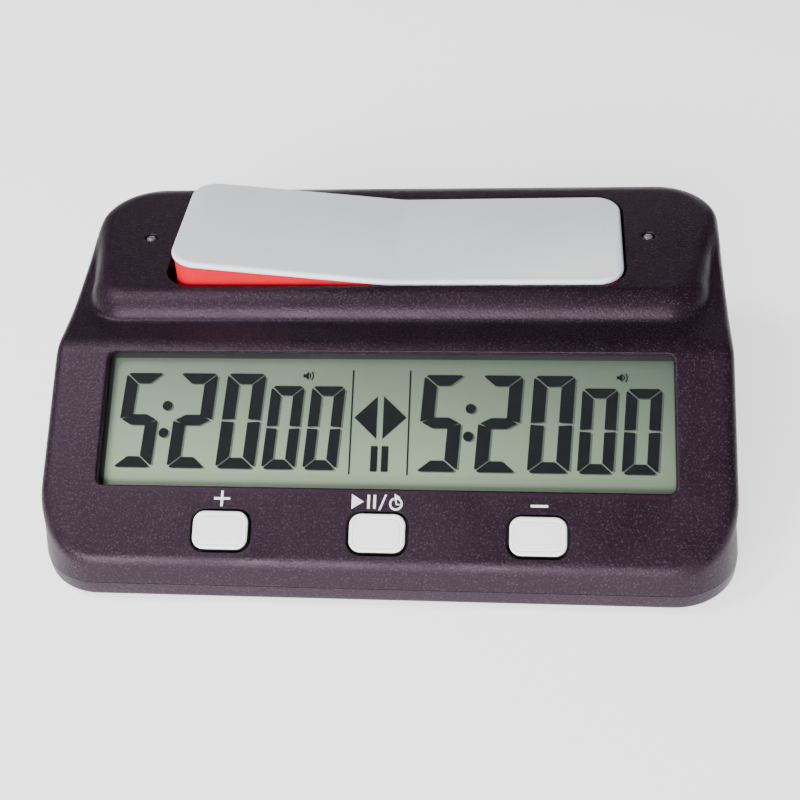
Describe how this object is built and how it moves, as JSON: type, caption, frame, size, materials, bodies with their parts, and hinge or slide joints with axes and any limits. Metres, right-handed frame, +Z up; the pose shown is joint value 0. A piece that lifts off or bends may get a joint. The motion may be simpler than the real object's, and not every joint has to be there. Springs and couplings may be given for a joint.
{
  "type": "chess clock",
  "caption": "Wedge-shaped digital chess clock with a bent seesaw rocker on top, a sloped two-sided LCD window and push buttons along the front.",
  "frame": {"origin": "on the table under the middle of the clock, level with the bottom of the rubber feet", "axes": "+X to the right along the display, +Y to the rear, away from the sloped display, +Z up"},
  "size_m": [0.148, 0.0984, 0.0475],
  "materials": {
    "housing_plastic": "fine-grained dark maroon ABS",
    "rocker_white": "smooth pale grey-white ABS",
    "rocker_red": "satin red ABS",
    "button_white": "glossy white ABS",
    "plunger_white": "natural acetal",
    "clear_window": "clear polished acrylic",
    "lcd_glass": "green-grey reflective liquid crystal display",
    "inner_plastic": "black moulded ABS",
    "black_component": "black moulded component",
    "tact_red": "brown-red phenolic",
    "board": "green solder mask on laminate",
    "contact_rubber": "pink and black layered silicone",
    "steel": "nickel-plated steel",
    "foot_rubber": "black rubber",
    "smoked_lens": "smoked clear plastic",
    "battery_sleeve": "plain printed sleeve",
    "ribbon": "grey flat cable",
    "wire_red": "red wire insulation",
    "wire_black": "black wire insulation"
  },
  "bodies": {
    "housing": {"top_housing": "housing_plastic", "bottom_cover": "housing_plastic", "display_window": "clear_window", "lcd_panel": "lcd_glass", "rocker_cradle": "inner_plastic", "lcd_frame": "inner_plastic", "rocker_switch_left": "inner_plastic", "rocker_switch_right": "inner_plastic", "tact_switch_plus": "inner_plastic", "tact_switch_play": "inner_plastic", "tact_switch_minus": "inner_plastic", "controller_chip": "black_component", "filter_capacitor": "black_component", "sounder": "black_component", "main_board": "board", "rocker_board": "board", "contact_strip": "contact_rubber", "rocker_axle": "steel", "timing_crystal": "steel", "contact_positive": "steel", "contact_negative": "steel", "power_switch_body": "steel", "case_screw_front_left": "steel", "case_screw_front_right": "steel", "case_screw_rear_left": "steel", "case_screw_rear_right": "steel", "cradle_screw_front_left": "steel", "cradle_screw_front_right": "steel", "cradle_screw_rear_left": "steel", "cradle_screw_rear_right": "steel", "main_board_screw_left": "steel", "main_board_screw_right": "steel", "rocker_board_screw_left": "steel", "rocker_board_screw_right": "steel", "rubber_foot_front_left": "foot_rubber", "rubber_foot_front_right": "foot_rubber", "rubber_foot_rear_left": "foot_rubber", "rubber_foot_rear_right": "foot_rubber", "bumper_pad_left": "foot_rubber", "bumper_pad_right": "foot_rubber", "indicator_led_left": "smoked_lens", "indicator_led_right": "smoked_lens", "battery_cell": "battery_sleeve", "ribbon_cable": "ribbon", "battery_wire_red": "wire_red", "battery_wire_black": "wire_black"},
    "rocker": {"rocker_cap": "rocker_white", "rocker_skirt": "rocker_red"},
    "plunger_left": {"rocker_plunger_left": "plunger_white"},
    "plunger_right": {"rocker_plunger_right": "plunger_white"},
    "button_plus": {"button_cap_plus": "button_white", "tact_plunger_plus": "tact_red"},
    "button_play": {"button_cap_play": "button_white", "tact_plunger_play": "tact_red"},
    "button_minus": {"button_cap_minus": "button_white", "tact_plunger_minus": "tact_red"},
    "battery_door": {"battery_door": "housing_plastic"},
    "power_slider": {"power_switch_slider": "black_component"}
  },
  "joints": [
    {"name": "rocker_tilt", "type": "hinge", "parent": "housing", "child": "rocker", "pos_m": [0, 0.02385, 0.031], "axis": [0, -1, 0], "range_deg": [0, 6]},
    {"name": "plunger_left_slide", "type": "slide", "parent": "housing", "child": "plunger_left", "axis": [0, 0, -1], "range_m": [0, 0.00315]},
    {"name": "plunger_right_slide", "type": "slide", "parent": "housing", "child": "plunger_right", "axis": [0, 0, 1], "range_m": [0, 0.00315]},
    {"name": "press_plus", "type": "slide", "parent": "housing", "child": "button_plus", "axis": [0, 0.5462, -0.8377], "range_m": [0, 0.0008], "stiffness_N_per_m": 400, "springref_m": -0.0005},
    {"name": "press_play", "type": "slide", "parent": "housing", "child": "button_play", "axis": [0, 0.5462, -0.8377], "range_m": [0, 0.0008], "stiffness_N_per_m": 400, "springref_m": -0.0005},
    {"name": "press_minus", "type": "slide", "parent": "housing", "child": "button_minus", "axis": [0, 0.5462, -0.8377], "range_m": [0, 0.0008], "stiffness_N_per_m": 400, "springref_m": -0.0005},
    {"name": "battery_door_slide", "type": "slide", "parent": "housing", "child": "battery_door", "axis": [0, 1, 0], "range_m": [0, 0.028]},
    {"name": "power_switch_slide", "type": "slide", "parent": "housing", "child": "power_slider", "axis": [1, 0, 0], "range_m": [0, 0.003]}
  ],
  "couplings": [
    {"joint": "plunger_left_slide", "follows": "rocker_tilt", "m_per_rad": 0.03},
    {"joint": "plunger_right_slide", "follows": "rocker_tilt", "m_per_rad": 0.03}
  ]
}
